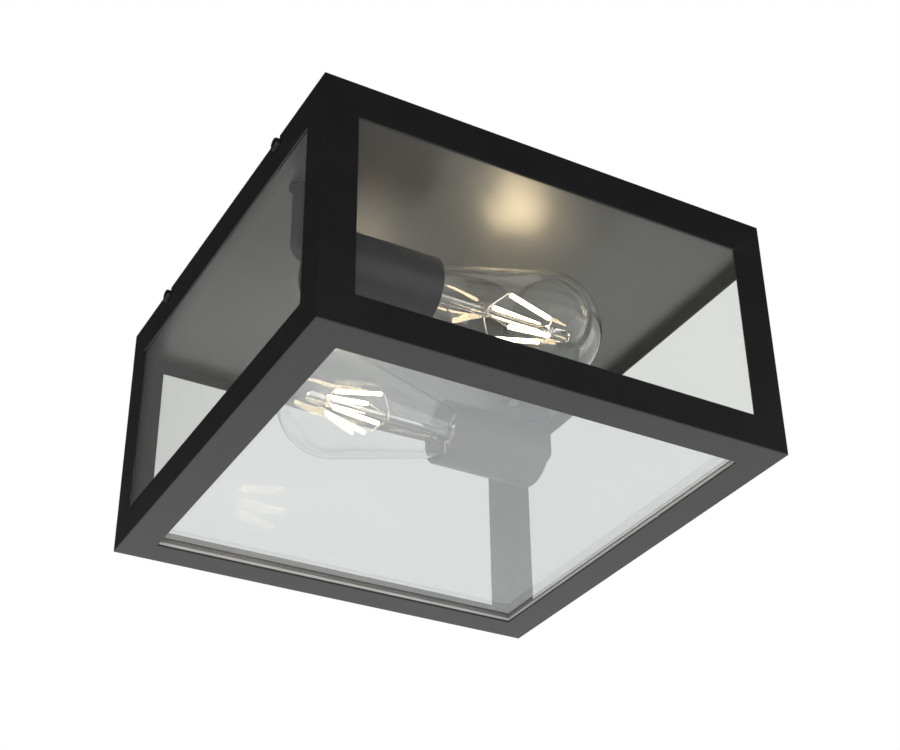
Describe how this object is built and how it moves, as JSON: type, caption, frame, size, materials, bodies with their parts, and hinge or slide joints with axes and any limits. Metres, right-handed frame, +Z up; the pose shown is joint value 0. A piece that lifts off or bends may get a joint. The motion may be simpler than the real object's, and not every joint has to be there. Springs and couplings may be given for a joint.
{
  "type": "porch ceiling lantern",
  "caption": "Square flush porch ceiling lantern: glazed black cage hung on a ceiling pan, with two screw-in filament lamps lying head to tail in sleeved lampholders.",
  "frame": {"origin": "centre of the lantern on the ceiling plane, on the top face of the mounting bar", "axes": "+Z up into the ceiling; +X along the front side, parallel to both lamps; the front side faces -Y"},
  "size_m": [0.265, 0.26, 0.142],
  "materials": {
    "cage_black": "satin",
    "clear_glass": "polished",
    "black_rubber": "matte",
    "pale_silicone": "satin",
    "pan_grey": "satin",
    "black_screw": "satin",
    "zinc_steel": "satin",
    "nut_black": "satin",
    "bracket_black": "satin",
    "sleeve_black": "satin",
    "core_ceramic": "matte",
    "brass": "satin",
    "white_plastic": "matte",
    "earth_wire": "matte",
    "black_wire": "matte",
    "sheath_black": "matte",
    "solder": "satin",
    "insulator_black": "polished",
    "cap_nickel": "satin",
    "lamp_glass": "polished",
    "filament": "matte",
    "support_wire": "satin"
  },
  "bodies": {
    "pan": {"bar_studs": "zinc_steel", "block_screw": "zinc_steel", "bracket_rivets": "zinc_steel", "cap_nuts": "nut_black", "ceiling_pan": "pan_grey", "centre_contact_left": "brass", "centre_contact_right": "brass", "clamp_screws": "black_screw", "earth_lead": "earth_wire", "earth_screw": "brass", "holder_bracket_left": "bracket_black", "holder_bracket_right": "bracket_black", "holder_core_left": "core_ceramic", "holder_core_right": "core_ceramic", "holder_nipples": "brass", "holder_sleeve_left": "sleeve_black", "holder_sleeve_right": "sleeve_black", "holder_wires_left": "black_wire", "holder_wires_right": "black_wire", "mounting_bar": "zinc_steel", "nipple_nuts": "brass", "screw_shell_left": "brass", "screw_shell_right": "brass", "terminal_block": "white_plastic", "weld_nuts": "zinc_steel", "wire_bushes": "black_rubber", "wire_sheath_left": "sheath_black", "wire_sheath_right": "sheath_black"},
    "cage": {"base_pane": "clear_glass", "base_rail_back": "cage_black", "base_rail_front": "cage_black", "base_rail_left": "cage_black", "base_rail_right": "cage_black", "base_seal": "pale_silicone", "corner_post_back_left": "cage_black", "corner_post_back_right": "cage_black", "corner_post_front_left": "cage_black", "corner_post_front_right": "cage_black", "side_pane_back": "clear_glass", "side_pane_front": "clear_glass", "side_pane_left": "clear_glass", "side_pane_right": "clear_glass", "top_rail_back": "cage_black", "top_rail_front": "cage_black", "top_rail_left": "cage_black", "top_rail_right": "cage_black"},
    "lamp_left_contact": {"lamp_tip_left": "solder"},
    "lamp_left": {"lamp_cap_left": "cap_nickel", "lamp_insulator_left": "insulator_black", "lamp_glass_left": "lamp_glass", "lamp_stem_left": "lamp_glass", "lamp_filaments_left": "filament", "lamp_filament_wires_left": "support_wire"},
    "lamp_right_contact": {"lamp_tip_right": "solder"},
    "lamp_right": {"lamp_cap_right": "cap_nickel", "lamp_insulator_right": "insulator_black", "lamp_glass_right": "lamp_glass", "lamp_stem_right": "lamp_glass", "lamp_filaments_right": "filament", "lamp_filament_wires_right": "support_wire"}
  },
  "joints": [
    {"name": "cage_drop", "type": "slide", "parent": "pan", "child": "cage", "axis": [0, 0, -1], "range_m": [0, 0.15]},
    {"name": "lamp_left_travel", "type": "slide", "parent": "pan", "child": "lamp_left_contact", "axis": [1, 0, 0], "range_m": [0, 0.01814]},
    {"name": "lamp_left_unscrew", "type": "hinge", "parent": "lamp_left_contact", "child": "lamp_left", "pos_m": [-0.075, -0.06, -0.056], "axis": [1, 0, 0], "range_deg": [0, 1800]},
    {"name": "lamp_right_travel", "type": "slide", "parent": "pan", "child": "lamp_right_contact", "axis": [-1, 0, 0], "range_m": [0, 0.01814]},
    {"name": "lamp_right_unscrew", "type": "hinge", "parent": "lamp_right_contact", "child": "lamp_right", "pos_m": [0.075, 0.06, -0.056], "axis": [-1, 0, 0], "range_deg": [0, 1800]}
  ],
  "couplings": [
    {"joint": "lamp_left_unscrew", "follows": "lamp_left_travel", "rad_per_m": 1731.4},
    {"joint": "lamp_right_unscrew", "follows": "lamp_right_travel", "rad_per_m": 1731.4}
  ]
}
